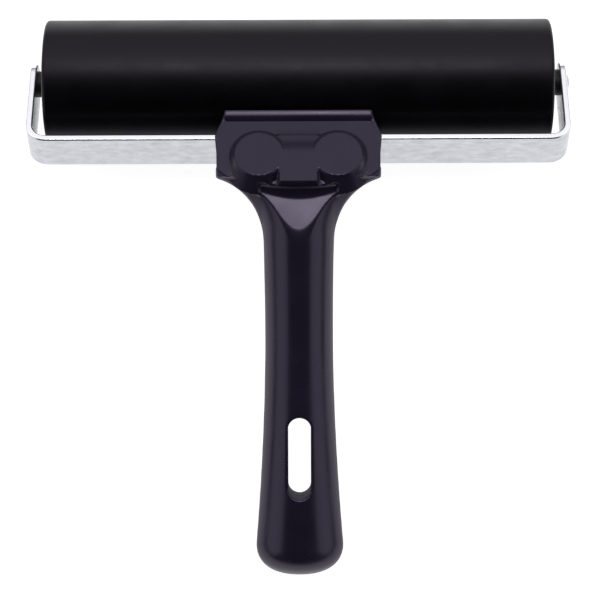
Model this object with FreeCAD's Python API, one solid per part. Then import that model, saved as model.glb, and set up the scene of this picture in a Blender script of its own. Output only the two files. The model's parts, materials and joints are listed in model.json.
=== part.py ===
import FreeCAD, Part
import math
import os

# A rubber ink roller (brayer): a rubber-covered roller turning on a steel axle that is riveted
# across a bent steel strip, and a two-shell plastic handle that clamps the strip from both sides.
#
# Row frame, millimetres: X along the roller's axle, +Y from the handle's end to the roller, +Z up.
# The tool lies at rest on Z = 0 on its roller and on the end of its handle.
# The origin is below the centre of the whole tool, on that surface.

# ---------------------------------------------------------------- driving dimensions
ROLLER_LENGTH = 150.0
ROLLER_RADIUS = 19.0
RUBBER_WALL = 4.0
RUBBER_EDGE = 1.0
CORE_WALL = 2.0
CORE_SETBACK = 0.4

PLUG_DEPTH = 11.0
PLUG_WEB = 3.0
PLUG_RIM = 2.2
PLUG_HUB_RADIUS = 5.5

AXLE_RADIUS = 2.5
AXLE_JOURNAL_RADIUS = 2.0
AXLE_HEAD_RADIUS = 3.4
AXLE_HEAD_RIGHT = 1.4
AXLE_HEAD_LEFT = 0.8
RUNNING_CLEARANCE = 0.05
END_FLOAT = 0.2
SPACER_RADIUS = 3.9

STRIP_WIDTH = 12.0
STRIP_THICK = 2.0
STRIP_EDGE = 0.5
STRIP_BEND = 4.0
ARM_GAP = 2.95
BAR_DISTANCE = 24.0

YOKE_TILT = 22.0
GRIP_TILT = 16.0
PLATE_TILT = 12.0
KNEE_DISTANCE = 45.4

HEAD_FRONT = 20.2
HEAD_BACK = -8.6
HEAD_UNDER = 8.0
PLATE_START = 23.5
PLATE_LEVEL = 11.5
RIDGE_FRONT = 14.45
RIDGE_LEVEL_END = 15.8
RIDGE_REAR = 16.7
RIDGE_FOOT = 17.85
RIDGE_TOP = 20.25
RIDGE_REAR_TOP = 20.05
RIDGE_FOOT_TOP = 19.5
RIDGE_BASE = 16.8
RIDGE_HALF_WIDTH = 21.4
SHOULDER_START = -26.5
SHOULDER_END = -19.9
SHOULDER_HALF_WIDTH = 24.15
SIDE_STATION = -15.0
SIDE_HALF_WIDTH = 23.65
CORNER_HALF_WIDTH = 23.5

NECK_ARC_CENTRE = 9.5
NECK_ARC_RADIUS = 18.1
NECK_HALF_WIDTH = 10.22
WAIST = 38.0
WAIST_HALF_WIDTH = 9.85
FLARE_RATE = 0.00176
FLARE_POWER = 1.8
END_START = 98.5
GRIP_END = 107.8
END_POWER = 2.35
CROWN_HEIGHT = 7.4
CROWN_POWER = 0.75
KEEL_DEPTH = 7.1
KEEL_POWER = 0.5
KEEL_FLARE = 1.48
KEEL_FLARE_START = 55.0

BOSS_SPACING = 22.6
BOSS_STATION = -14.7
BOSS_TOP_RADIUS = 6.95
BOSS_BASE_RADIUS = 8.7
BOSS_RISE = 2.6
BRIDGE_START = -20.8
BRIDGE_LEVEL_START = -15.0
BRIDGE_STEP = 0.8
MOUND_EDGE = -6.9
BRIDGE_HALF_WIDTH = 5.4
NOTCH_BOTTOM = -2.85
NOTCH_BOTTOM_LEVEL = 4.15
NOTCH_END = 8.5

SLOT_START = 61.1
SLOT_END = 84.7
SLOT_WIDTH = 6.6
POCKET_START = 15.0
POCKET_END = 55.0
POCKET_HALF_WIDTH = 5.0
POCKET_DEPTH = 3.9

SCREW_RADIUS = 1.75
SCREW_CLEARANCE = 0.05
SCREW_LENGTH = 15.0
SCREW_HEAD_RADIUS = 3.3
SCREW_HEAD_HEIGHT = 2.3
SCREW_HEAD_ROUND = 0.8
SCREW_POINT_LENGTH = 2.0
SCREW_POINT_RADIUS = 0.3
SCREW_RECESS_RADIUS = 3.7
SCREW_RECESS_DEPTH = 3.2
DRIVE_SLOT_REACH = 2.05
DRIVE_SLOT_WIDTH = 0.9
DRIVE_SLOT_DEPTH = 1.2
CHANNEL_CLEARANCE = 0.05

# ---------------------------------------------------------------- derived sizes and frames
ARM_INNER = ROLLER_LENGTH / 2 + ARM_GAP
ARM_OUTER = ARM_INNER + STRIP_THICK
BAR_OUTER = BAR_DISTANCE + STRIP_THICK
HALF_STRIP = STRIP_WIDTH / 2
HANDLE_REACH = KNEE_DISTANCE * math.cos(math.radians(YOKE_TILT)) + GRIP_END * math.cos(math.radians(GRIP_TILT))
AXLE_CENTRE = FreeCAD.Vector(0, (HANDLE_REACH - ROLLER_RADIUS) / 2, ROLLER_RADIUS)
X_AXIS = FreeCAD.Vector(1, 0, 0)
WIDE = 200.0
SECTION_POINTS = 17


def slope_vector(back, up, tilt):
    """A vector in the YZ plane: back away from the roller along a line that climbs by tilt, and up from it."""
    angle = math.radians(tilt)
    y = -back * math.cos(angle) + up * math.sin(angle)
    z = back * math.sin(angle) + up * math.cos(angle)
    return FreeCAD.Vector(0, y, z)


def yoke_point(x, back, up):
    """A point in the strip's own plane: back is the distance behind the axle, up is square to the strip's plane."""
    return AXLE_CENTRE + X_AXIS * x + slope_vector(back, up, YOKE_TILT)


KNEE = yoke_point(0, KNEE_DISTANCE, 0)


def grip_point(x, along, up):
    """A point measured along the grip from the knee, where the two parting planes meet, and up from the grip's."""
    return KNEE + X_AXIS * x + slope_vector(along, up, -GRIP_TILT)


YOKE_UP = slope_vector(0, 1, YOKE_TILT)
GRIP_UP = slope_vector(0, 1, -GRIP_TILT)
GRIP_ALONG = slope_vector(1, 0, -GRIP_TILT)
PLATE_UP = slope_vector(0, 1, PLATE_TILT)
PLATE_ORIGIN = yoke_point(0, PLATE_START, PLATE_LEVEL)


def plate_level(along):
    """Height of the head's flat top above the grip's parting plane, carried on, at a station along the grip."""
    offset = PLATE_ORIGIN - KNEE
    slope = math.tan(math.radians(PLATE_TILT + GRIP_TILT))
    return offset.dot(GRIP_UP) + (along - offset.dot(GRIP_ALONG)) * slope


def end_factor(along):
    """1 along the grip, falling to 0 at its rounded end."""
    if along <= END_START:
        return 1.0
    reach = min((along - END_START) / (GRIP_END - END_START), 1.0)
    return (1 - reach ** END_POWER) ** (1 / END_POWER)


def half_width(along):
    """Half the handle's width, seen square to the grip."""
    if along < NECK_ARC_CENTRE:
        run = min(NECK_ARC_CENTRE - along, NECK_ARC_RADIUS)
        neck = NECK_HALF_WIDTH + NECK_ARC_RADIUS - math.sqrt(NECK_ARC_RADIUS ** 2 - run ** 2)
        return min(neck, CORNER_HALF_WIDTH)
    flare = FLARE_RATE * max(along - WAIST, 0) ** FLARE_POWER
    blend = max((WAIST - along) / (WAIST - NECK_ARC_CENTRE), 0) ** 2
    waist = WAIST_HALF_WIDTH + (NECK_HALF_WIDTH - WAIST_HALF_WIDTH) * blend
    return (waist + flare) * end_factor(along)


def crown_height(along):
    """Height of the grip's top line above the parting plane."""
    return CROWN_HEIGHT * end_factor(along)


def keel_depth(along):
    """Depth of the grip's underside below the parting plane, growing towards the end that rests on the table."""
    reach = min(max((along - KEEL_FLARE_START) / (END_START - KEEL_FLARE_START), 0), 1)
    return (KEEL_DEPTH + KEEL_FLARE * reach ** 2) * end_factor(along)


# ---------------------------------------------------------------- small makers
def face_from(points):
    """A flat face inside a closed polygon."""
    return Part.Face(Part.makePolygon(points + [points[0]]))


def across(points):
    """A prism along X, centred, with this outline in the YZ plane."""
    prism = face_from(points).extrude(X_AXIS * WIDE)
    prism.translate(X_AXIS * (-WIDE / 2))
    return prism


def x_cylinder(radius, x_from, x_to):
    """A cylinder on the axle's line."""
    base = AXLE_CENTRE + X_AXIS * x_from
    return Part.makeCylinder(radius, x_to - x_from, base, X_AXIS)


def mirrored(shape):
    """The same piece on the left side."""
    return shape.mirror(FreeCAD.Vector(0, 0, 0), X_AXIS)


def edges_where(shape, test):
    """The edges whose middle point passes a test."""
    chosen = []
    for edge in shape.Edges:
        middle = edge.valueAt((edge.FirstParameter + edge.LastParameter) / 2)
        if test(middle):
            chosen.append(edge)
    return chosen


# ---------------------------------------------------------------- the roller
def rubber_sleeve():
    """Rubber covering, its two outer edges slightly rounded."""
    half = ROLLER_LENGTH / 2
    tube = x_cylinder(ROLLER_RADIUS, -half, half)
    rims = edges_where(tube, lambda p: abs(abs(p.x) - half) < 0.01)
    tube = tube.makeFillet(RUBBER_EDGE, rims)
    return tube.cut(x_cylinder(ROLLER_RADIUS - RUBBER_WALL, -half, half))


def core_tube():
    """Stiff tube that the rubber is moulded on."""
    half = ROLLER_LENGTH / 2 - CORE_SETBACK
    outer = ROLLER_RADIUS - RUBBER_WALL
    return x_cylinder(outer, -half, half).cut(x_cylinder(outer - CORE_WALL, -half, half))


def end_plug():
    """Right-hand plug: a rim pressed into the tube, a web and a long hub that runs on the axle."""
    outside = ROLLER_LENGTH / 2 - CORE_SETBACK
    radius = ROLLER_RADIUS - RUBBER_WALL - CORE_WALL
    plug = x_cylinder(radius, outside - PLUG_DEPTH, outside)
    hollow = x_cylinder(radius - PLUG_RIM, outside - PLUG_DEPTH, outside - PLUG_WEB)
    hub = x_cylinder(PLUG_HUB_RADIUS, outside - PLUG_DEPTH, outside)
    bore = x_cylinder(AXLE_RADIUS + RUNNING_CLEARANCE, outside - PLUG_DEPTH, outside)
    return plug.cut(hollow).fuse(hub).cut(bore).removeSplitter()


def spacer():
    """Right-hand spacer sleeve that keeps the roller off the arm."""
    x_from = ROLLER_LENGTH / 2 - CORE_SETBACK + END_FLOAT
    x_to = ARM_INNER - RUNNING_CLEARANCE
    sleeve = x_cylinder(SPACER_RADIUS, x_from, x_to)
    return sleeve.cut(x_cylinder(AXLE_RADIUS + RUNNING_CLEARANCE, x_from, x_to))


def rivet_head(side, rise):
    """Domed head formed on an end of the axle, outside an arm."""
    start = ARM_OUTER + RUNNING_CLEARANCE
    sphere_radius = (AXLE_HEAD_RADIUS ** 2 + rise ** 2) / (2 * rise)
    centre = AXLE_CENTRE + X_AXIS * (start + rise - sphere_radius)
    ball = Part.makeSphere(sphere_radius, centre)
    head = ball.common(x_cylinder(AXLE_HEAD_RADIUS, start, start + rise))
    return head if side > 0 else mirrored(head)


def axle_rod():
    """Steel rod with a shoulder inside each arm and a riveted head outside it."""
    shoulder = ARM_INNER - RUNNING_CLEARANCE
    reach = ARM_OUTER + RUNNING_CLEARANCE
    rod = x_cylinder(AXLE_RADIUS, -shoulder, shoulder)
    rod = rod.fuse(x_cylinder(AXLE_JOURNAL_RADIUS, -reach - AXLE_HEAD_LEFT / 2, reach + AXLE_HEAD_RIGHT / 2))
    rod = rod.fuse(rivet_head(1, AXLE_HEAD_RIGHT))
    return rod.fuse(rivet_head(-1, AXLE_HEAD_LEFT)).removeSplitter()


# ---------------------------------------------------------------- the bent strip
def strip_outline(half_span, depth, corner):
    """The U seen square to its plane: two arms and the bar, as a closed outline with rounded corners."""
    open_end = -HALF_STRIP
    turn = corner * (1 - math.sqrt(0.5))
    up = -HALF_STRIP
    right = [
        yoke_point(half_span, open_end, up),
        yoke_point(half_span, depth - corner, up),
        yoke_point(half_span - turn, depth - turn, up),
        yoke_point(half_span - corner, depth, up),
    ]
    left = [FreeCAD.Vector(-p.x, p.y, p.z) for p in right]
    edges = [
        Part.LineSegment(right[0], right[1]).toShape(),
        Part.Arc(right[1], right[2], right[3]).toShape(),
        Part.LineSegment(right[3], left[3]).toShape(),
        Part.Arc(left[3], left[2], left[1]).toShape(),
        Part.LineSegment(left[1], left[0]).toShape(),
        Part.LineSegment(left[0], right[0]).toShape(),
    ]
    return Part.Face(Part.Wire(edges)).extrude(YOKE_UP * STRIP_WIDTH)


def arm_silhouette():
    """Side view of the strip: straight arms with full-round ends about the axle."""
    tip = Part.makeCylinder(HALF_STRIP, WIDE, AXLE_CENTRE - X_AXIS * (WIDE / 2), X_AXIS)
    body = across([
        yoke_point(0, 0, -HALF_STRIP),
        yoke_point(0, BAR_OUTER + 1, -HALF_STRIP),
        yoke_point(0, BAR_OUTER + 1, HALF_STRIP),
        yoke_point(0, 0, HALF_STRIP),
    ])
    return tip.fuse(body)


def yoke_frame():
    """Zinc-plated strip bent into a U, with a hole for the axle in each arm."""
    outer = strip_outline(ARM_OUTER, BAR_OUTER, STRIP_BEND + STRIP_THICK)
    inner = strip_outline(ARM_INNER, BAR_DISTANCE, STRIP_BEND)
    strip = outer.cut(inner).common(arm_silhouette()).removeSplitter()
    strip = strip.makeFillet(STRIP_EDGE, strip.Edges)
    hole = AXLE_JOURNAL_RADIUS + RUNNING_CLEARANCE
    return strip.cut(x_cylinder(hole, -WIDE / 2, WIDE / 2))


# ---------------------------------------------------------------- the handle
def plan_prism():
    """The head's outline seen square to the grip, carried through the head's whole depth."""
    corner_run = math.sqrt(NECK_ARC_RADIUS ** 2 - (NECK_HALF_WIDTH + NECK_ARC_RADIUS - CORNER_HALF_WIDTH) ** 2)
    corner = NECK_ARC_CENTRE - corner_run
    low = -WIDE / 4

    def at(x, along):
        return grip_point(x, along, low)

    middle = (corner + NECK_ARC_CENTRE) / 2
    right = [at(RIDGE_HALF_WIDTH, low), at(RIDGE_HALF_WIDTH, SHOULDER_START)]
    right += [at(SHOULDER_HALF_WIDTH, SHOULDER_END), at(SIDE_HALF_WIDTH, SIDE_STATION), at(CORNER_HALF_WIDTH, corner)]
    edges = [Part.LineSegment(a, b).toShape() for a, b in zip(right, right[1:])]
    end = at(NECK_HALF_WIDTH, NECK_ARC_CENTRE)
    edges.append(Part.Arc(right[-1], at(half_width(middle), middle), end).toShape())
    left = [edge.mirror(FreeCAD.Vector(0, 0, 0), X_AXIS) for edge in edges]
    close_front = Part.LineSegment(at(-RIDGE_HALF_WIDTH, low), right[0]).toShape()
    close_back = Part.LineSegment(end, at(-NECK_HALF_WIDTH, NECK_ARC_CENTRE)).toShape()
    outline = Part.Wire(Part.__sortEdges__(edges + left + [close_front, close_back]))
    return Part.Face(outline).extrude(GRIP_UP * (WIDE / 2))


def section_wire(along, rise, power):
    """Half an oval across the grip: a curve from rim to rim and the straight line that closes it."""
    width = half_width(along)
    points = []
    for i in range(SECTION_POINTS):
        u = math.sin(math.pi * (i / (SECTION_POINTS - 1) - 0.5))
        points.append(grip_point(width * u, along, rise * (1 - u * u) ** power))
    curve = Part.BSplineCurve()
    curve.interpolate(points)
    return Part.Wire([curve.toShape(), Part.LineSegment(points[-1], points[0]).toShape()])


def grip_half(rise_at, power, sign):
    """One half of the grip, lofted through ovals from the neck to its rounded end."""
    neck = [HEAD_BACK, -6.0, -3.0, 0.0, 3.5, 7.0, 10.7, 16.0, 24.0]
    shank = [WAIST, 50.0, 62.0, 74.0, 86.0, 94.0, END_START]
    tip = [END_START + (GRIP_END - END_START) * share for share in (0.25, 0.45, 0.63, 0.78, 0.89, 0.96, 0.99)]
    wires = [section_wire(along, sign * rise_at(along), power) for along in neck + shank + tip]
    return Part.makeLoft(wires, True, False)


def front_ridge():
    """Ridge along the head's leading edge, level on top; its rear falls into the flat top."""
    corners = [
        (RIDGE_FRONT, RIDGE_BASE),
        (RIDGE_FRONT, RIDGE_TOP),
        (RIDGE_LEVEL_END, RIDGE_TOP),
        (RIDGE_REAR, RIDGE_REAR_TOP),
        (RIDGE_FOOT, RIDGE_FOOT_TOP),
        (RIDGE_FOOT, RIDGE_BASE),
    ]
    return across([AXLE_CENTRE + slope_vector(back, up, 0) for back, up in corners])


def front_head():
    """Head of the front shell: a flat plate over the strip, with a ridge along its leading edge."""
    block = across([
        yoke_point(0, HEAD_FRONT, 0),
        yoke_point(0, HEAD_FRONT, PLATE_LEVEL),
        PLATE_ORIGIN,
        grip_point(0, HEAD_BACK, plate_level(HEAD_BACK)),
        grip_point(0, HEAD_BACK, 0.5),
        grip_point(0, 0, 0.5),
        KNEE,
    ])
    return block.fuse(front_ridge()).common(plan_prism()).removeSplitter()


def rear_head():
    """Head of the rear shell, below the strip's middle plane."""
    block = across([
        yoke_point(0, HEAD_FRONT, 0),
        KNEE,
        grip_point(0, 4.0, -0.5),
        grip_point(0, 4.0, -KEEL_DEPTH + 1),
        yoke_point(0, KNEE_DISTANCE - 4, -HEAD_UNDER),
        yoke_point(0, HEAD_FRONT + 2, -HEAD_UNDER),
        yoke_point(0, HEAD_FRONT, -HEAD_UNDER + 2),
    ])
    return block.common(plan_prism()).removeSplitter()


def boss(side):
    """Raised round boss over a screw: a low cone square to the head's plate."""
    level = plate_level(BOSS_STATION) + BOSS_RISE / math.cos(math.radians(PLATE_TILT + GRIP_TILT))
    top = grip_point(side * BOSS_SPACING / 2, BOSS_STATION, level)
    return Part.makeCone(BOSS_BASE_RADIUS, BOSS_TOP_RADIUS, BOSS_RISE, top - PLATE_UP * BOSS_RISE, PLATE_UP)


def bridge():
    """Raised ground between the bosses: it climbs from the plate and ends at the thumb notch."""
    rise = BOSS_RISE / math.cos(math.radians(PLATE_TILT + GRIP_TILT))
    outline = [
        grip_point(0, BRIDGE_START, plate_level(BRIDGE_START) - 1),
        grip_point(0, BRIDGE_START, plate_level(BRIDGE_START) + BRIDGE_STEP),
        grip_point(0, BRIDGE_LEVEL_START, plate_level(BRIDGE_LEVEL_START) + rise),
        grip_point(0, MOUND_EDGE, plate_level(MOUND_EDGE) + rise),
        grip_point(0, NOTCH_BOTTOM, NOTCH_BOTTOM_LEVEL - 2),
    ]
    prism = face_from(outline).extrude(X_AXIS * (2 * BRIDGE_HALF_WIDTH))
    prism.translate(X_AXIS * (-BRIDGE_HALF_WIDTH))
    return prism


def thumb_notch():
    """Material taken off the crown behind the bosses: a steep wall down and a level ramp back up to the crown."""
    wall_slope = (plate_level(MOUND_EDGE) + BOSS_RISE - NOTCH_BOTTOM_LEVEL) / (MOUND_EDGE - NOTCH_BOTTOM)
    ramp_slope = (CROWN_HEIGHT - NOTCH_BOTTOM_LEVEL) / (NOTCH_END - NOTCH_BOTTOM)
    return across([
        grip_point(0, NOTCH_BOTTOM, NOTCH_BOTTOM_LEVEL),
        grip_point(0, NOTCH_END + 6, CROWN_HEIGHT + 6 * ramp_slope),
        grip_point(0, NOTCH_END + 6, CROWN_HEIGHT + 20),
        grip_point(0, MOUND_EDGE - 8, CROWN_HEIGHT + 20),
        grip_point(0, MOUND_EDGE - 2, NOTCH_BOTTOM_LEVEL + (MOUND_EDGE - 2 - NOTCH_BOTTOM) * wall_slope),
    ])


def hang_slot():
    """Long hole with round ends, square to the grip."""
    radius = SLOT_WIDTH / 2
    low = -WIDE / 8
    length = WIDE / 4
    ends = []
    for along in (SLOT_START + radius, SLOT_END - radius):
        ends.append(Part.makeCylinder(radius, length, grip_point(0, along, low), GRIP_UP))
    corners = [(-radius, SLOT_START + radius), (radius, SLOT_START + radius)]
    corners += [(radius, SLOT_END - radius), (-radius, SLOT_END - radius)]
    middle = face_from([grip_point(x, along, low) for x, along in corners]).extrude(GRIP_UP * length)
    return middle.fuse(ends[0]).fuse(ends[1]).removeSplitter()


def grip_pocket(sign):
    """Hollow that keeps a shell's wall even, open at the parting plane."""
    corners = [(-POCKET_HALF_WIDTH, POCKET_START), (POCKET_HALF_WIDTH, POCKET_START)]
    corners += [(POCKET_HALF_WIDTH, POCKET_END), (-POCKET_HALF_WIDTH, POCKET_END)]
    floor = face_from([grip_point(x, along, -sign) for x, along in corners])
    return floor.extrude(GRIP_UP * (sign * (POCKET_DEPTH + 1)))


def strip_channel():
    """Room for the strip's bar, through the head from side to side."""
    near = BAR_DISTANCE - CHANNEL_CLEARANCE
    far = BAR_OUTER + CHANNEL_CLEARANCE
    half = HALF_STRIP + CHANNEL_CLEARANCE
    return across([
        yoke_point(0, near, -half),
        yoke_point(0, far, -half),
        yoke_point(0, far, half),
        yoke_point(0, near, half),
    ])


def screw_axis(side):
    """Where a screw's axis leaves the underside of the head."""
    top = grip_point(side * BOSS_SPACING / 2, BOSS_STATION, plate_level(BOSS_STATION))
    drop = ((top - AXLE_CENTRE).dot(YOKE_UP) + HEAD_UNDER) / PLATE_UP.dot(YOKE_UP)
    return top - PLATE_UP * drop


def screw_hole(side):
    """Hole for one screw, with the recess for its head."""
    base = screw_axis(side)
    radius = SCREW_RADIUS + SCREW_CLEARANCE
    shank = Part.makeCylinder(radius, SCREW_RECESS_DEPTH + SCREW_LENGTH + 0.5, base, PLATE_UP)
    recess = Part.makeCylinder(SCREW_RECESS_RADIUS, SCREW_RECESS_DEPTH + 3, base - PLATE_UP * 3, PLATE_UP)
    return shank.fuse(recess)


def handle_screw(side):
    """Pan-head self-tapping screw that pulls the two shells together."""
    seat = screw_axis(side) + PLATE_UP * SCREW_RECESS_DEPTH
    straight = SCREW_LENGTH - SCREW_POINT_LENGTH
    top = seat - PLATE_UP * SCREW_HEAD_HEIGHT
    shank = Part.makeCylinder(SCREW_RADIUS, straight, seat, PLATE_UP)
    point = Part.makeCone(SCREW_RADIUS, SCREW_POINT_RADIUS, SCREW_POINT_LENGTH, seat + PLATE_UP * straight, PLATE_UP)
    head = Part.makeCylinder(SCREW_HEAD_RADIUS, SCREW_HEAD_HEIGHT, seat, -PLATE_UP)
    rim = edges_where(head, lambda p: abs((p - top).dot(PLATE_UP)) < 0.01)
    head = head.makeFillet(SCREW_HEAD_ROUND, rim)
    slots = []
    for direction in (X_AXIS, X_AXIS.cross(PLATE_UP)):
        other = direction.cross(PLATE_UP)
        corner = direction * DRIVE_SLOT_REACH + other * (DRIVE_SLOT_WIDTH / 2)
        edge = direction * DRIVE_SLOT_REACH - other * (DRIVE_SLOT_WIDTH / 2)
        slots.append(face_from([top + corner, top + edge, top - corner, top - edge]))
    screw = shank.fuse(point).fuse(head).removeSplitter()
    for slot in slots:
        screw = screw.cut(slot.extrude(PLATE_UP * DRIVE_SLOT_DEPTH))
    return screw


def handle_front_shell():
    """The shell that faces up, with the bosses, the bridge and the thumb notch."""
    shell = front_head().fuse(grip_half(crown_height, CROWN_POWER, 1))
    shell = shell.fuse(bridge()).cut(thumb_notch())
    shell = shell.fuse(boss(-1)).fuse(boss(1))
    return finished_shell(shell, 1)


def handle_rear_shell():
    """The shell that faces the table and takes the screw heads."""
    above_strip_plane = across([
        yoke_point(0, 0, 0),
        yoke_point(0, WIDE / 2, 0),
        yoke_point(0, WIDE / 2, WIDE / 2),
        yoke_point(0, 0, WIDE / 2),
    ])
    keel = grip_half(keel_depth, KEEL_POWER, -1).cut(above_strip_plane)
    return finished_shell(rear_head().fuse(keel), -1)


def finished_shell(shell, sign):
    """Cuts a shell's slot, channel, pocket and screw holes."""
    for tool in (hang_slot(), strip_channel(), grip_pocket(sign), screw_hole(-1), screw_hole(1)):
        shell = shell.cut(tool)
    return shell.removeSplitter()


# ---------------------------------------------------------------- the nodes
def nodes():
    """Every separate piece by name."""
    plug = end_plug()
    sleeve = spacer()
    return {
        "rubber_sleeve": rubber_sleeve(),
        "core_tube": core_tube(),
        "end_plug_right": plug,
        "end_plug_left": mirrored(plug),
        "spacer_right": sleeve,
        "spacer_left": mirrored(sleeve),
        "axle_rod": axle_rod(),
        "yoke_frame": yoke_frame(),
        "handle_front_shell": handle_front_shell(),
        "handle_rear_shell": handle_rear_shell(),
        "handle_screw_right": handle_screw(1),
        "handle_screw_left": handle_screw(-1),
    }


def main():
    """Builds and writes the pieces."""
    os.makedirs("parts", exist_ok=True)
    for name, shape in nodes().items():
        box = shape.BoundBox
        size = f"{box.XMin:.2f}..{box.XMax:.2f}  {box.YMin:.2f}..{box.YMax:.2f}  {box.ZMin:.2f}..{box.ZMax:.2f}"
        print(f"{name}: {len(shape.Solids)} solid, valid {shape.isValid()}, {shape.Volume:.0f} mm3, {size}")
        shape.exportStep(f"parts/{name}.step")


main()
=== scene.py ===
import json
import math

import bpy
import numpy as np
from mathutils import Euler, Matrix, Vector


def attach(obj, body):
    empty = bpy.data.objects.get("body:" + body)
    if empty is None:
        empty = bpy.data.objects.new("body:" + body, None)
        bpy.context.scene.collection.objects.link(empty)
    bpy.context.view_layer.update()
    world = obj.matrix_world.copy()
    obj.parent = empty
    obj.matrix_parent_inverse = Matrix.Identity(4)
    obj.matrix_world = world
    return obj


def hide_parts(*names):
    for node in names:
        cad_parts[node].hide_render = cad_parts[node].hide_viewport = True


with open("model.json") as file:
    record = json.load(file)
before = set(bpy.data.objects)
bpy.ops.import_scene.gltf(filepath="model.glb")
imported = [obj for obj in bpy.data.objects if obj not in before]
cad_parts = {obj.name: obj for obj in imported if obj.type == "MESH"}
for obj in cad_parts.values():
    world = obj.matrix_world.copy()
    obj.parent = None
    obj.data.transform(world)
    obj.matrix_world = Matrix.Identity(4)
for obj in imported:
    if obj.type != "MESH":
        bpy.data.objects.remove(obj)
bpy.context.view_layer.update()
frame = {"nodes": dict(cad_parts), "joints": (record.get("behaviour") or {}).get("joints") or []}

MM = 0.001

# ---------------------------------------------------------------- the handle's measures, in millimetres
# They follow the outside of the CAD shells, which the pieces made here stand for. The pieces are solid inside:
# the CAD shells' screw holes, screw recesses, strip channel and pockets aren't made here. Stations and levels
# are counted along the grip and up from it, from the knee where the grip's line meets the strip's plane.
YOKE_TILT = math.radians(22.0)
GRIP_TILT = math.radians(16.0)
PLATE_TILT = math.radians(12.0)
BEND = YOKE_TILT + GRIP_TILT
PLATE_BEND = PLATE_TILT + GRIP_TILT
KNEE_DISTANCE = 45.4

# The head: a thick plate over and under the strip.
HEAD_FRONT = 20.2
HEAD_UNDER = 8.0
HEAD_STATIONS = (-27.5, -25.5, -23.3, -21.6, -19.9, -18.2, -15.0, -7.5)
HEAD_HALF_WIDTHS = (21.3, 21.7, 22.7, 23.5, 24.15, 24.0, 23.65, 23.5)
HEAD_BACK = -8.6
HEAD_BACK_LEAN = math.radians(45.0)
HEAD_UNDER_BACK = 2.0
HEAD_UNDER_LEAN = 0.5
HEAD_FRONT_EDGE = 0.8
HEAD_UNDER_EDGE = 2.0
HEAD_BACK_EDGE = 0.9
HEAD_SIDE_EDGE = 0.45
PLATE_START = 23.5
PLATE_LEVEL = 11.5

# The ridge along the head's leading edge, measured level from the axle.
RIDGE_FRONT = 14.45
RIDGE_MIDDLE = (15.4, 20.2)
RIDGE_CURVE = 12.0
RIDGE_SLOPE = math.radians(-1.5)
RIDGE_REAR = (17.3, 19.8)
RIDGE_REAR_LEAN = math.radians(58.0)
RIDGE_BASE = 16.8
RIDGE_EDGE = 0.3
RIDGE_CORNER = 0.3
RIDGE_FOOT = 0.15

# The raised rim along the head's slanted front corners.
LIP_HEIGHT = 0.55
LIP_WIDTH = 1.0
LIP_DEPTH = 2.0
LIP_START = -26.0
LIP_END = -19.0
LIP_EDGE = 0.25
LIP_FOOT = 0.3

# The slopes that fall from the plate to the neck's outline.
FLANGE_START = HEAD_BACK - 4
FLANGE_END = 3.0
FLANGE_FALL = 0.215
FLANGE_SINK = 0.05
FLANGE_SLOPE = math.radians(30.0)
FLANGE_CHAMFER = 1.2
FLANGE_EDGE = 0.6
FLANGE_ROOT = 1.0
FLANGE_ROOT_EDGE = 0.3

# The two bosses and the bridge between them.
BOSS_SPACING = 22.6
BOSS_STATION = -14.7
BOSS_TOP_RADIUS = 6.95
BOSS_BASE_RADIUS = 8.7
BOSS_RISE = 2.6
BOSS_EDGE = 0.2
NOTCH_BOTTOM = -2.85
BRIDGE_START = -19.7
BRIDGE_END = NOTCH_BOTTOM + 1
BRIDGE_LEVEL_START = -15.0
BRIDGE_STEP = 0.8
BRIDGE_FRONT_LEAN = math.radians(60.0)
BRIDGE_HALF_WIDTH = 5.4
BRIDGE_LEAN = math.radians(12.0)
BRIDGE_EDGE = 0.3
BRIDGE_FOOT = 1.0
MOUND_EDGE = -6.9
MOUND_ROOT = 3.0
MOUND_FOOT = 0.5

# The thumb notch.
NOTCH_STATIONS = (-12.0, -8.6, -6.0, -2.5, 0.0, 6.0)
NOTCH_MARGINS = (5.2, 4.4, 3.8, 2.7, 2.1, 2.0)
NOTCH_EDGE_STATIONS = (3.0, 9.0)
NOTCH_EDGE_RADII = (0.25, 0.7)
NOTCH_BOTTOM_LEVEL = 4.15
NOTCH_END = 8.5
NOTCH_COVE = 2.5
NOTCH_SIDE_COVE = 0.8
WALL_LEAN = 0.6
WALL_TWIST = 0.0035
WALL_TWIST_END = 11

# The neck and the grip.
NECK_ARC_CENTRE = 9.5
NECK_ARC_RADIUS = 18.1
NECK_ARC_LIMIT = 0.01
NECK_HALF_WIDTH = 10.22
NECK_CROWN_POWER = 0.9
NECK_CROWN_END = 12.0
NECK_FILLET = 1.0
SHOULDER_REACH = -2.0
WAIST = 38.0
WAIST_HALF_WIDTH = 9.85
FLARE_RATE = 0.00176
FLARE_POWER = 1.8
END_START = 98.5
GRIP_END = 107.8
END_POWER = 2.35
CROWN_HEIGHT = 7.4
CROWN_POWER = 0.75
KEEL_DEPTH = 7.1
KEEL_FLARE = 1.46
KEEL_FLARE_START = 55.0
GRIP_OVERLAP = 2.0
GRIP_TOP_EDGE = 0.6
HIDDEN_EDGE = 0.5

# The hanging slot and the seam between the shells.
SLOT_START = 61.1
SLOT_END = 84.7
SLOT_HALF_WIDTH = 3.3
SLOT_EDGE = 0.7
SEAM_GAP = 0.06
SEAM_EDGE = 0.3

# Boxes around the two shells, across, along and up, and the cells that they are meshed in.
FRONT_LOW = (-25.5, -30, -13)
FRONT_HIGH = (25.5, 109, 9.5)
REAR_LOW = (-25.5, -23, -26)
REAR_HIGH = (25.5, 109, 2)
REAR_STEP = 0.4
FRONT_STEP = REAR_STEP * 0.8
FIELD_STEP = 0.02
SETTLE_ROUNDS = 3
SETTLE_LIMIT = 0.4
CREASE_ANGLE = math.radians(28.0)

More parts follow.
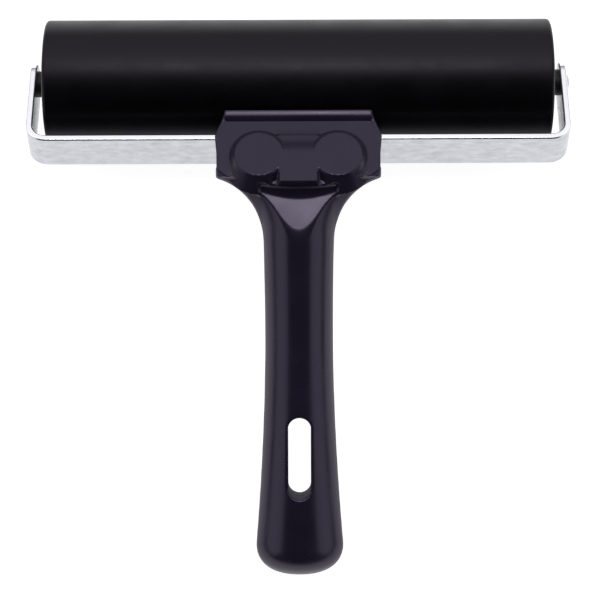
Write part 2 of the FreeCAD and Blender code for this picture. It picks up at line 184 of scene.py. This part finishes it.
# ---------------------------------------------------------------- camera, light and floor, in metres
CAMERA_TILT = math.radians(12.0)
CAMERA_ROLL = math.radians(-0.22)
CAMERA_DISTANCE = 0.640
CAMERA_LENS = 127.84
AIM = Vector((0.0003, -0.0003, 0.0055))
FLOOR_HALF = 0.7
FLOOR_GLOW = 0.93
FLOOR_SHADE = 0.4
LAMP_ANGLE = math.radians(17.0)
LAMP_DISTANCE = 1.1
LAMP_WIDTH = 0.36
LAMP_DEPTH = 0.13
LAMP_RADIANCE = 11.0
LAMP_TARGET = Vector((0, -0.02, 0.03))
# The light tent's bands, each where its light starts and where it is full, as parts of a direction.
TENT_FOOT = (0.08, 0.2)
TENT_BACK_START = (0.04, 0.28)
TENT_BACK_CLIMB = (-0.3, 0.7)
TENT_SIDE_START = (0.6, 0.72)
TENT_SIDE_TOP = (0.66, 0.78)
TENT_SIDE_FRONT = (-0.7, -0.5)
TENT_BACK = 1.1
TENT_SIDE = 1.1
TENT_DARK = 0.012
TENT_COLOR = (1.0, 0.98, 1.03, 1)


# ---------------------------------------------------------------- frames of the handle
def slope_vector(back, up, tilt):
    """A vector in the YZ plane: back from the roller along a line that climbs by tilt, and up from it."""
    y = -back * math.cos(tilt) + up * math.sin(tilt)
    z = back * math.sin(tilt) + up * math.cos(tilt)
    return Vector((0, y, z))


AXLE = Vector(frame["joints"][0]["pos_m"])
KNEE = AXLE + slope_vector(KNEE_DISTANCE, 0, YOKE_TILT) * MM
PLATE_OFFSET = AXLE + slope_vector(PLATE_START, PLATE_LEVEL, YOKE_TILT) * MM - KNEE
PLATE_T = PLATE_OFFSET.dot(slope_vector(1, 0, -GRIP_TILT)) / MM
PLATE_G = PLATE_OFFSET.dot(slope_vector(0, 1, -GRIP_TILT)) / MM


def to_row(points):
    """Grip points, x across, t along from the knee and g up, in millimetres, to the row frame in metres."""
    along = np.array(slope_vector(1, 0, -GRIP_TILT))
    up = np.array(slope_vector(0, 1, -GRIP_TILT))
    across = np.array([1.0, 0.0, 0.0])
    place = points[:, :1] * across + points[:, 1:2] * along + points[:, 2:3] * up
    return np.array(KNEE) + place * MM


def yoke_coordinates(t, g):
    """Distance behind the axle in the strip's plane, and height above that plane."""
    back = KNEE_DISTANCE + t * math.cos(BEND) + g * math.sin(BEND)
    return back, g * math.cos(BEND) - t * math.sin(BEND)


def level_coordinates(t, g):
    """Level distance behind the axle, and height above it."""
    back, up = yoke_coordinates(t, g)
    level_back = back * math.cos(YOKE_TILT) - up * math.sin(YOKE_TILT)
    return level_back, back * math.sin(YOKE_TILT) + up * math.cos(YOKE_TILT)


def plate_distance(t, g):
    """Height above the head's flat top."""
    return (g - PLATE_G) * math.cos(PLATE_BEND) - (t - PLATE_T) * math.sin(PLATE_BEND)


def plate_along(t, g):
    """Distance up the head's flat top, from its leading end."""
    return (t - PLATE_T) * math.cos(PLATE_BEND) + (g - PLATE_G) * math.sin(PLATE_BEND)


def plate_level(t):
    """The level of the head's flat top at a station."""
    return PLATE_G + (t - PLATE_T) * math.tan(PLATE_BEND)


def face_level(t):
    """The level of the bosses' faces at a station."""
    return plate_level(t) + BOSS_RISE / math.cos(PLATE_BEND)


# ---------------------------------------------------------------- rounded solid operations on distance fields
def join(a, b, radius):
    """Union with a fillet of this radius where the two surfaces meet."""
    inner = np.hypot(np.maximum(radius - a, 0), np.maximum(radius - b, 0))
    return np.maximum(radius, np.minimum(a, b)) - inner


def meet(a, b, radius):
    """Intersection with its edge rounded to this radius."""
    outer = np.hypot(np.maximum(radius + a, 0), np.maximum(radius + b, 0))
    return np.minimum(-radius, np.maximum(a, b)) + outer


def carve(a, b, radius):
    """a with b taken off, the new edge rounded to this radius."""
    return meet(a, -b, radius)


# ---------------------------------------------------------------- the handle's outline
def plan_table():
    """Half the handle's width against the station along the grip, its corners eased."""
    start, end, step, ease = -60.0, 125.0, 0.1, 8
    t = np.arange(start, end, step)
    run = np.clip(NECK_ARC_CENTRE - t, 0, NECK_ARC_RADIUS - NECK_ARC_LIMIT)
    neck = NECK_HALF_WIDTH + NECK_ARC_RADIUS - np.sqrt(NECK_ARC_RADIUS ** 2 - run ** 2)
    blend = np.clip((WAIST - t) / (WAIST - NECK_ARC_CENTRE), 0, 1) ** 2
    waist = WAIST_HALF_WIDTH + (NECK_HALF_WIDTH - WAIST_HALF_WIDTH) * blend
    flare = FLARE_RATE * np.clip(t - WAIST, 0, END_START - WAIST) ** FLARE_POWER
    head = np.interp(t, HEAD_STATIONS, HEAD_HALF_WIDTHS)
    shank = np.where(t < NECK_ARC_CENTRE, neck, waist + flare)
    width = np.where(t < SHOULDER_REACH, np.minimum(head, shank), shank)
    kernel = np.exp(-np.linspace(-2, 2, 2 * ease + 1) ** 2)
    padded = np.pad(width, ease, mode="edge")
    return t, np.convolve(padded, kernel / kernel.sum(), mode="valid")


PLAN_T, PLAN_W = plan_table()
PLAN_SLOPE = np.gradient(PLAN_W, PLAN_T)


def half_width(t):
    """Half the handle's width at a station."""
    return np.interp(t, PLAN_T, PLAN_W)


def side_distance(x, t):
    """Distance to the handle's outline, seen square to the grip."""
    return (np.abs(x) - half_width(t)) / np.hypot(1, np.interp(t, PLAN_T, PLAN_SLOPE))


# ---------------------------------------------------------------- the handle as a distance field
def oval(x, t, g):
    """Implicit oval of the grip: below 0 inside."""
    reach = np.clip((t - END_START) / (GRIP_END - END_START), 0, None)
    flare = np.clip((t - KEEL_FLARE_START) / (END_START - KEEL_FLARE_START), 0, 1)
    keel = KEEL_DEPTH + KEEL_FLARE * flare ** 2
    power = CROWN_POWER + (NECK_CROWN_POWER - CROWN_POWER) * np.clip(1 - t / NECK_CROWN_END, 0, 1)
    above = (np.clip(g, 0, None) / CROWN_HEIGHT) ** (1 / power)
    below = (np.clip(-g, 0, None) / keel) ** 2
    across = (x / half_width(t)) ** 2 + above + below
    return (across ** (END_POWER / 2) + reach ** END_POWER) ** (2 / END_POWER) - 1


def gradient(field, x, t, g):
    """How fast a field changes along x, t and g."""
    step = FIELD_STEP
    dx = (field(x + step, t, g) - field(x - step, t, g)) / (2 * step)
    dt = (field(x, t + step, g) - field(x, t - step, g)) / (2 * step)
    dg = (field(x, t, g + step) - field(x, t, g - step)) / (2 * step)
    return dx, dt, dg


def grip_distance(x, t, g):
    """The oval's field scaled to distance by its own slope."""
    least_slope = 0.03
    dx, dt, dg = gradient(oval, x, t, g)
    slope = np.sqrt(dx * dx + dt * dt + dg * dg)
    body = oval(x, t, g) / np.maximum(slope, least_slope)
    body = meet(body, plate_distance(t, g), GRIP_TOP_EDGE)
    return meet(body, HEAD_BACK - GRIP_OVERLAP - t, HIDDEN_EDGE)


def block_distance(t, g):
    """The head's thick plate, seen from the side."""
    back, up = yoke_coordinates(t, g)
    body = meet(HEAD_FRONT - back, plate_distance(t, g), HEAD_FRONT_EDGE)
    body = meet(body, -HEAD_UNDER - up, HEAD_UNDER_EDGE)
    drop = g - plate_level(HEAD_BACK)
    upper = (t - HEAD_BACK) * math.cos(HEAD_BACK_LEAN) + drop * math.sin(HEAD_BACK_LEAN)
    lower = (t - HEAD_UNDER_BACK) * math.cos(HEAD_UNDER_LEAN) + g * math.sin(HEAD_UNDER_LEAN)
    return meet(body, np.where(g > 0, upper, lower), HEAD_BACK_EDGE)


def ridge_distance(t, g):
    """The ridge along the head's leading edge: a curved top that drops steeply behind."""
    back, up = level_coordinates(t, g)
    centre_back = RIDGE_MIDDLE[0] + RIDGE_CURVE * math.sin(RIDGE_SLOPE)
    centre_up = RIDGE_MIDDLE[1] - RIDGE_CURVE * math.cos(RIDGE_SLOPE)
    crown = np.hypot(back - centre_back, up - centre_up) - RIDGE_CURVE
    fall = (back - RIDGE_REAR[0]) * math.cos(RIDGE_REAR_LEAN)
    fall = fall + (up - RIDGE_REAR[1]) * math.sin(RIDGE_REAR_LEAN)
    ridge = meet(crown, fall, RIDGE_CORNER)
    ridge = meet(ridge, RIDGE_FRONT - back, RIDGE_EDGE)
    return meet(ridge, RIDGE_BASE - up, RIDGE_EDGE)


def lip_distance(side, t, g):
    """The raised rim along the slanted front corners, fading out along the sides."""
    top = plate_distance(t, g)
    fade = np.clip((LIP_END - t) / (LIP_END - LIP_START), 0, 1)
    lip = meet(top - LIP_HEIGHT * fade, -side - LIP_WIDTH, LIP_EDGE)
    lip = meet(lip, RIDGE_FRONT - level_coordinates(t, g)[0], LIP_EDGE)
    lip = meet(lip, -LIP_DEPTH - top, LIP_EDGE)
    return meet(lip, t - LIP_END, LIP_EDGE)


def head_distance(x, t, g):
    """The head: its plate, ridge and rims, chamfered down to the neck's outline at the back."""
    side = side_distance(x, t)
    rim = (FLANGE_END - t) * FLANGE_FALL
    slope = (g - rim) * math.cos(FLANGE_SLOPE) + side * math.sin(FLANGE_SLOPE)
    flange = meet(slope, plate_distance(t, g) + FLANGE_SINK, FLANGE_EDGE)
    flange = meet(flange, -FLANGE_ROOT - g, FLANGE_ROOT_EDGE)
    body = join(block_distance(t, g), ridge_distance(t, g), RIDGE_FOOT)
    body = meet(body, slope, FLANGE_CHAMFER)
    body = np.minimum(body, meet(flange, FLANGE_START - t, HIDDEN_EDGE))
    body = join(body, lip_distance(side, t, g), LIP_FOOT)
    return meet(body, side, HEAD_SIDE_EDGE)


def boss_distance(x, t, g):
    """A low cone on the plate, one each side: its wall, and the height above its face."""
    rise = plate_distance(t, g) - BOSS_RISE
    along = plate_along(t, g) - plate_along(BOSS_STATION, face_level(BOSS_STATION))
    radial = np.hypot(np.abs(x) - BOSS_SPACING / 2, along)
    slope = math.atan2(BOSS_BASE_RADIUS - BOSS_TOP_RADIUS, BOSS_RISE)
    wall = (radial - BOSS_TOP_RADIUS) * math.cos(slope) + rise * math.sin(slope)
    return meet(wall, -MOUND_ROOT - BOSS_RISE - rise, HIDDEN_EDGE), rise


def bridge_distance(x, t, g):
    """Raised ground between the bosses, climbing from the plate: its walls, and the height above its top."""
    ramp = np.clip((t - BRIDGE_START) / (BRIDGE_LEVEL_START - BRIDGE_START), 0, 1)
    ease = ramp * ramp * (3 - 2 * ramp)
    height = plate_distance(t, g)
    rise = height - (BRIDGE_STEP + (BOSS_RISE - BRIDGE_STEP) * ease)
    side = (np.abs(x) - BRIDGE_HALF_WIDTH) * math.cos(BRIDGE_LEAN)
    side = side + (height - BOSS_RISE) * math.sin(BRIDGE_LEAN)
    front = (BRIDGE_START - t) * math.cos(BRIDGE_FRONT_LEAN)
    front = front + (height - BRIDGE_STEP) * math.sin(BRIDGE_FRONT_LEAN)
    body = meet(side, front, BRIDGE_EDGE)
    body = meet(body, t - BRIDGE_END, HIDDEN_EDGE)
    return meet(body, -MOUND_ROOT - height, HIDDEN_EDGE), rise


def mound_distance(x, t, g):
    """Both bosses and the bridge between them, with concave corners where their sides meet."""
    bridge, bridge_rise = bridge_distance(x, t, g)
    wall, boss_rise = boss_distance(x, t, g)
    raised = meet(wall, boss_rise, BOSS_EDGE)
    ground = meet(join(bridge, wall, BRIDGE_FOOT), np.maximum(bridge_rise, boss_rise), BRIDGE_EDGE)
    return np.minimum(raised, ground)


def notch_distance(x, t, g):
    """The thumb notch: a steep wall behind the bosses and a level ramp up to the crown."""
    ramp_angle = math.atan2(CROWN_HEIGHT - NOTCH_BOTTOM_LEVEL, NOTCH_END - NOTCH_BOTTOM)
    lean = WALL_LEAN - WALL_TWIST * np.clip(np.abs(x), 0, WALL_TWIST_END) ** 2
    wall = (MOUND_EDGE - t) * np.cos(lean) - (g - face_level(MOUND_EDGE)) * np.sin(lean)
    ramp = -(g - NOTCH_BOTTOM_LEVEL) * math.cos(ramp_angle) + (t - NOTCH_BOTTOM) * math.sin(ramp_angle)
    margin = np.interp(t, NOTCH_STATIONS, NOTCH_MARGINS)
    return meet(meet(wall, ramp, NOTCH_COVE), side_distance(x, t) + margin, NOTCH_SIDE_COVE)


def slot_distance(x, t):
    """Distance to the wall of the hanging slot."""
    middle = np.clip(t, SLOT_START + SLOT_HALF_WIDTH, SLOT_END - SLOT_HALF_WIDTH)
    return np.hypot(x, t - middle) - SLOT_HALF_WIDTH


def handle_distance(x, t, g):
    """The whole handle, both shells together."""
    body = join(head_distance(x, t, g), grip_distance(x, t, g), NECK_FILLET)
    body = join(body, mound_distance(x, t, g), MOUND_FOOT)
    body = carve(body, notch_distance(x, t, g), np.interp(t, NOTCH_EDGE_STATIONS, NOTCH_EDGE_RADII))
    return carve(body, slot_distance(x, t), SLOT_EDGE)


def front_shell(x, t, g):
    """The part of the handle above the parting planes."""
    above_strip = yoke_coordinates(t, g)[1]
    keep = np.minimum(-g, -above_strip) + SEAM_GAP
    return meet(handle_distance(x, t, g), keep, SEAM_EDGE)


def rear_shell(x, t, g):
    """The part of the handle below the parting planes."""
    above_strip = yoke_coordinates(t, g)[1]
    keep = np.maximum(g, above_strip) + SEAM_GAP
    return meet(handle_distance(x, t, g), keep, SEAM_EDGE)


# ---------------------------------------------------------------- distance field to mesh
CORNERS = [(i, j, k) for i in (0, 1) for j in (0, 1) for k in (0, 1)]


def cell_edges():
    """Pairs of a cell's corners that differ along one axis."""
    pairs = []
    for a in range(8):
        for b in range(a + 1, 8):
            if sum(abs(p - q) for p, q in zip(CORNERS[a], CORNERS[b])) == 1:
                pairs.append((a, b))
    return pairs


def cell_points(values):
    """The mean of the points where the surface crosses a cell's edges, in cells, from its corner values."""
    total = np.zeros((len(values), 3))
    hits = np.zeros((len(values), 1))
    for a, b in cell_edges():
        va, vb = values[:, a], values[:, b]
        crossed = (va < 0) != (vb < 0)
        share = np.where(crossed, va / np.where(crossed, va - vb, 1), 0)[:, None]
        point = np.array(CORNERS[a]) + share * (np.array(CORNERS[b]) - np.array(CORNERS[a]))
        total += np.where(crossed[:, None], point, 0)
        hits += crossed[:, None]
    return total / hits


def crossing_quads(inside, index, axis):
    """A quad of four cells' vertices around each grid edge along one axis that leaves or enters the solid."""
    shape = index.shape
    u, v = [(1, 2), (2, 0), (0, 1)][axis]
    first = inside.take(range(shape[axis]), axis=axis)
    second = inside.take(range(1, shape[axis] + 1), axis=axis)
    edges = np.argwhere(first != second)
    keep = (edges[:, u] > 0) & (edges[:, v] > 0) & (edges[:, u] < shape[u]) & (edges[:, v] < shape[v])
    edges = edges[keep]
    outward = first[tuple(edges.T)]
    ring = []
    for du, dv in ((-1, -1), (0, -1), (0, 0), (-1, 0)):
        cell = edges.copy()
        cell[:, u] += du
        cell[:, v] += dv
        ring.append(index[tuple(cell.T)])
    ring = np.stack(ring, 1)
    return np.where(outward[:, None], ring, ring[:, ::-1])


def surface_net(field, low, high, step):
    """Vertices and quads of the surface where the field is 0, one vertex in each cell that it crosses."""
    axes = [np.arange(lo, hi + step, step) for lo, hi in zip(low, high)]
    value = field(*np.meshgrid(*axes, indexing="ij"))
    inside = value < 0
    shape = [len(a) - 1 for a in axes]

    def corner(array, offset):
        return array[tuple(slice(o, o + n) for o, n in zip(offset, shape))]

    count = sum(corner(inside, c).astype(np.int8) for c in CORNERS)
    cells = np.argwhere((count > 0) & (count < len(CORNERS)))
    index = -np.ones(shape, np.int64)
    index[tuple(cells.T)] = np.arange(len(cells))
    values = np.stack([corner(value, c)[tuple(cells.T)] for c in CORNERS], 1)
    points = np.array(low) + (cells + cell_points(values)) * step
    return points, np.concatenate([crossing_quads(inside, index, axis) for axis in range(3)])


def settle(field, points, limit):
    """Moves points onto the field's zero surface, by no more than the limit each round."""
    least_square = 0.05
    shortest = 1e-9
    for _ in range(SETTLE_ROUNDS):
        x, t, g = points.T
        slope = np.stack(gradient(field, x, t, g), 1)
        square = np.maximum((slope ** 2).sum(1), least_square)
        move = -(field(x, t, g) / square)[:, None] * slope
        length = np.maximum(np.linalg.norm(move, axis=1, keepdims=True), shortest)
        points = points + move * np.minimum(1, limit / length)
    return points


def field_piece(name, field, low, high, step):
    """A smooth mesh object of a distance field given in grip coordinates."""
    points, quads = surface_net(field, low, high, step)
    points = settle(field, points, step * SETTLE_LIMIT)
    mesh = bpy.data.meshes.new(name)
    mesh.from_pydata(to_row(points).tolist(), [], quads.tolist())
    mesh.update()
    mesh.shade_smooth()
    mesh.set_sharp_from_angle(angle=CREASE_ANGLE)
    return place_object(name, mesh)


def place_object(name, data):
    """Puts a mesh, lamp or camera in the scene."""
    made = bpy.data.objects.new(name, data)
    bpy.context.scene.collection.objects.link(made)
    return made


# ---------------------------------------------------------------- materials
class Finish:
    """A material under construction: its Principled shader, and helpers that add nodes to it."""

    def __init__(self, name):
        self.material = bpy.data.materials.new(name)
        self.material.use_nodes = True
        self.tree = self.material.node_tree
        self.shader = self.tree.nodes["Principled BSDF"]
        self.place = self.node("ShaderNodeTexCoord")

    def node(self, kind, **values):
        """A node with the given inputs or settings."""
        made = self.tree.nodes.new(kind)
        for key, value in values.items():
            if key in made.inputs:
                made.inputs[key].default_value = value
            else:
                setattr(made, key, value)
        return made

    def link(self, source, target):
        self.tree.links.new(source, target)

    def noise(self, scale, detail, roughness, vector=None):
        """A cloudy pattern, over the piece's own coordinates unless others are given."""
        made = self.node("ShaderNodeTexNoise", Scale=scale, Detail=detail, Roughness=roughness)
        self.link(vector or self.place.outputs["Object"], made.inputs["Vector"])
        return made.outputs["Fac"]

    def ramp(self, pattern, stops, low_color, high_color):
        """The pattern turned into a blend of two colours between its two stops."""
        made = self.node("ShaderNodeValToRGB")
        for element, stop, color in zip(made.color_ramp.elements, stops, (low_color, high_color)):
            element.position = stop
            element.color = (*color, 1)
        self.link(pattern, made.inputs["Fac"])
        return made.outputs["Color"]

    def gloss(self, pattern, stops, low, high):
        """The pattern turned into a roughness between two values."""
        return self.ramp(pattern, stops, (low, low, low), (high, high, high))

    def facing(self, direction):
        """How much the surface faces a direction fixed to the piece."""
        made = self.node("ShaderNodeVectorMath", operation="DOT_PRODUCT")
        self.link(self.place.outputs["Normal"], made.inputs[0])
        made.inputs[1].default_value = direction
        return made.outputs["Value"]

    def spread(self, value, low, high, start=0.0, end=1.0):
        """A value's run from low to high, stretched to run from start to end."""
        ends = {"From Min": low, "From Max": high, "To Min": start, "To Max": end}
        made = self.node("ShaderNodeMapRange", **ends)
        self.link(value, made.inputs["Value"])
        return made.outputs["Result"]

    def relief(self, pattern, strength):
        """Fine bumps from the pattern."""
        made = self.node("ShaderNodeBump", Strength=strength, Distance=0.1 * MM)
        self.link(pattern, made.inputs["Height"])
        self.link(made.outputs["Normal"], self.shader.inputs["Normal"])

    def color(self, source):
        self.link(source, self.shader.inputs["Base Color"])

    def roughness(self, source):
        self.link(source, self.shader.inputs["Roughness"])

    def set(self, name, value):
        """A shader value that is the same all over the surface."""
        self.shader.inputs[name].default_value = value


def plastic_material():
    """Glossy black moulded plastic with a violet cast, duller on walls that stand steeply on the grip."""
    finish = Finish("handle_plastic")
    cloud = finish.noise(60.0, 4.0, 0.6)
    finish.color(finish.ramp(cloud, (0.3, 0.7), (0.0120, 0.0092, 0.0200), (0.0150, 0.0115, 0.0250)))
    flat = finish.node("ShaderNodeMath", operation="ABSOLUTE")
    finish.link(finish.facing(slope_vector(0, 1, -GRIP_TILT)), flat.inputs[0])
    rough = finish.node("ShaderNodeMath", operation="ADD")
    finish.link(finish.gloss(cloud, (0.25, 0.75), 0.2, 0.3), rough.inputs[0])
    finish.link(finish.spread(flat.outputs[0], 0.1, 0.5, 0.48, 0.0), rough.inputs[1])
    finish.roughness(rough.outputs[0])
    finish.relief(finish.noise(2600.0, 2.0, 0.5), 0.06)
    finish.set("Specular IOR Level", 0.4)
    finish.set("Specular Tint", (0.85, 0.75, 1.0, 1))
    return finish.material


def rubber_material():
    """Ground black rubber."""
    finish = Finish("roller_rubber")
    cloud = finish.noise(90.0, 5.0, 0.6)
    finish.color(finish.ramp(cloud, (0.3, 0.7), (0.0002, 0.0002, 0.0003), (0.0005, 0.0004, 0.0007)))
    finish.roughness(finish.gloss(cloud, (0.3, 0.7), 0.36, 0.44))
    finish.relief(finish.noise(1500.0, 3.0, 0.6), 0.12)
    finish.set("Specular IOR Level", 0.27)
    finish.set("Specular Tint", (0.9, 0.82, 1.0, 1))
    return finish.material


def zinc_material():
    """Bright zinc plate with streaks and faint spangle; the strip's narrow edges that look up off it get a
    painted highlight, a near-white base colour.
    """
    finish = Finish("zinc_plate")
    stretch = finish.node("ShaderNodeMapping", Scale=(1.0, 2.2, 2.2))
    finish.link(finish.place.outputs["Object"], stretch.inputs["Vector"])
    cloud = finish.noise(260.0, 6.0, 0.65, stretch.outputs["Vector"])
    # Painted highlight: faces that look up off the strip are blended to near-white, standing in for the light
    # those edges catch.
    edge = finish.spread(finish.facing(slope_vector(0, 1, YOKE_TILT)), 0.2, 0.7)
    painted_highlight = finish.node("ShaderNodeMix", data_type="RGBA")
    finish.link(edge, painted_highlight.inputs["Factor"])
    finish.link(finish.ramp(cloud, (0.3, 0.7), (0.44, 0.455, 0.48), (0.6, 0.615, 0.64)), painted_highlight.inputs[6])
    painted_highlight.inputs[7].default_value = (0.95, 0.96, 0.98, 1)
    finish.color(painted_highlight.outputs[2])
    finish.roughness(finish.gloss(cloud, (0.3, 0.75), 0.13, 0.25))
    finish.relief(cloud, 0.25)
    finish.set("Metallic", 1.0)
    return finish.material


def steel_material():
    """Drawn steel with fine scratches."""
    finish = Finish("bright_steel")
    scratch = finish.noise(900.0, 4.0, 0.7)
    finish.color(finish.ramp(scratch, (0.3, 0.7), (0.45, 0.45, 0.46), (0.66, 0.66, 0.67)))
    finish.roughness(finish.gloss(scratch, (0.3, 0.7), 0.25, 0.42))
    finish.relief(scratch, 0.1)
    finish.set("Metallic", 1.0)
    return finish.material


def matte_material(name, low, high):
    """Plain moulded plastic of the roller's ends."""
    finish = Finish(name)
    cloud = finish.noise(200.0, 4.0, 0.6)
    finish.color(finish.ramp(cloud, (0.3, 0.7), low, high))
    finish.roughness(finish.gloss(cloud, (0.3, 0.7), 0.45, 0.6))
    finish.relief(cloud, 0.1)
    return finish.material


def floor_material():
    """A pale surface that glows a little, as a light table does."""
    finish = Finish("pale_floor")
    finish.set("Base Color", (FLOOR_SHADE, FLOOR_SHADE, FLOOR_SHADE, 1))
    finish.set("Roughness", 0.9)
    finish.set("Specular IOR Level", 0.2)
    finish.set("Emission Color", (1, 1, 1, 1))
    finish.set("Emission Strength", FLOOR_GLOW)
    return finish.material


def dress(piece, material):
    """Gives a piece one material."""
    piece.data.materials.clear()
    piece.data.materials.append(material)


# ---------------------------------------------------------------- camera, light and floor
def make_camera():
    """Camera over the tool, leaning a little towards the handle's end."""
    data = bpy.data.cameras.new("photo_camera")
    data.lens = CAMERA_LENS
    data.sensor_width = 36.0
    data.clip_start = 0.01
    camera = place_object("photo_camera", data)
    turn = Euler((CAMERA_TILT, 0, 0)).to_matrix() @ Matrix.Rotation(CAMERA_ROLL, 3, "Z")
    sight = turn @ Vector((0, 0, -1))
    camera.matrix_world = Matrix.Translation(AIM - sight * CAMERA_DISTANCE) @ turn.to_4x4()
    bpy.context.scene.camera = camera


def make_lamp():
    """One soft lamp overhead, a little behind the roller."""
    data = bpy.data.lights.new("overhead_lamp", "AREA")
    data.shape = "RECTANGLE"
    data.size = LAMP_WIDTH
    data.size_y = LAMP_DEPTH
    data.energy = LAMP_RADIANCE * math.pi * LAMP_WIDTH * LAMP_DEPTH
    lamp = place_object("overhead_lamp", data)
    place = Vector((0, math.sin(LAMP_ANGLE), math.cos(LAMP_ANGLE))) * LAMP_DISTANCE
    aim = (LAMP_TARGET - place).to_track_quat("-Z", "Y")
    lamp.matrix_world = Matrix.Translation(place) @ aim.to_matrix().to_4x4()


def make_floor():
    """A pale light table under the tool."""
    corners = [(x * FLOOR_HALF, y * FLOOR_HALF, 0) for x, y in ((-1, -1), (1, -1), (1, 1), (-1, 1))]
    mesh = bpy.data.meshes.new("floor")
    mesh.from_pydata(corners, [], [(0, 1, 2, 3)])
    floor = place_object("floor", mesh)
    dress(floor, floor_material())


def make_world():
    """A light tent: pale from the back's horizon to the zenith and at both sides, dark in front."""
    world = bpy.data.worlds.new("studio")
    bpy.context.scene.world = world
    world.use_nodes = True
    tree = world.node_tree
    background = tree.nodes["Background"]
    place = tree.nodes.new("ShaderNodeTexCoord")
    split = tree.nodes.new("ShaderNodeSeparateXYZ")
    tree.links.new(place.outputs["Generated"], split.inputs["Vector"])

    def combine(kind, *values):
        made = tree.nodes.new("ShaderNodeMath")
        made.operation = kind
        for slot, value in zip(made.inputs, values):
            if isinstance(value, (int, float)):
                slot.default_value = value
            else:
                tree.links.new(value, slot)
        return made.outputs[0]

    def smooth(value, low, high):
        made = tree.nodes.new("ShaderNodeMapRange")
        made.interpolation_type = "SMOOTHSTEP"
        tree.links.new(value, made.inputs["Value"])
        made.inputs["From Min"].default_value = low
        made.inputs["From Max"].default_value = high
        return made.outputs["Result"]

    x, y, z = split.outputs["X"], split.outputs["Y"], split.outputs["Z"]
    back = combine("MULTIPLY", smooth(y, *TENT_BACK_START), smooth(z, *TENT_BACK_CLIMB))
    low_part = smooth(combine("MULTIPLY", z, -1.0), -TENT_SIDE_TOP[1], -TENT_SIDE_TOP[0])
    sides = combine("MULTIPLY", smooth(combine("ABSOLUTE", x), *TENT_SIDE_START), low_part)
    sides = combine("MULTIPLY", sides, smooth(y, *TENT_SIDE_FRONT))
    pale = combine("MAXIMUM", combine("MULTIPLY", back, TENT_BACK), combine("MULTIPLY", sides, TENT_SIDE))
    lit = combine("ADD", combine("MULTIPLY", pale, smooth(z, *TENT_FOOT)), TENT_DARK)
    tree.links.new(lit, background.inputs["Strength"])
    background.inputs["Color"].default_value = TENT_COLOR


# ---------------------------------------------------------------- assembly
def make_handle(plastic):
    """The two handle shells, each in place of its CAD solid."""
    front = field_piece("handle_front_moulding", front_shell, FRONT_LOW, FRONT_HIGH, FRONT_STEP)
    rear = field_piece("handle_rear_moulding", rear_shell, REAR_LOW, REAR_HIGH, REAR_STEP)
    for piece, node in ((front, "handle_front_shell"), (rear, "handle_rear_shell")):
        dress(piece, plastic)
        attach(piece, "frame")
        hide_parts(node)


def dress_nodes():
    """Gives each CAD node that stays its material."""
    plug = matte_material("plug_plastic", (0.008, 0.008, 0.009), (0.014, 0.014, 0.016))
    core = matte_material("core_plastic", (0.05, 0.05, 0.055), (0.08, 0.08, 0.085))
    steel = steel_material()
    finishes = {
        "rubber_sleeve": rubber_material(),
        "core_tube": core,
        "end_plug_right": plug,
        "end_plug_left": plug,
        "spacer_right": plug,
        "spacer_left": plug,
        "axle_rod": steel,
        "yoke_frame": zinc_material(),
        "handle_screw_right": steel,
        "handle_screw_left": steel,
    }
    for name, material in finishes.items():
        dress(frame["nodes"][name], material)


def main():
    """Builds the scene."""
    bpy.context.scene.view_settings.view_transform = "Standard"
    make_camera()
    make_floor()
    make_world()
    make_lamp()
    dress_nodes()
    make_handle(plastic_material())


main()
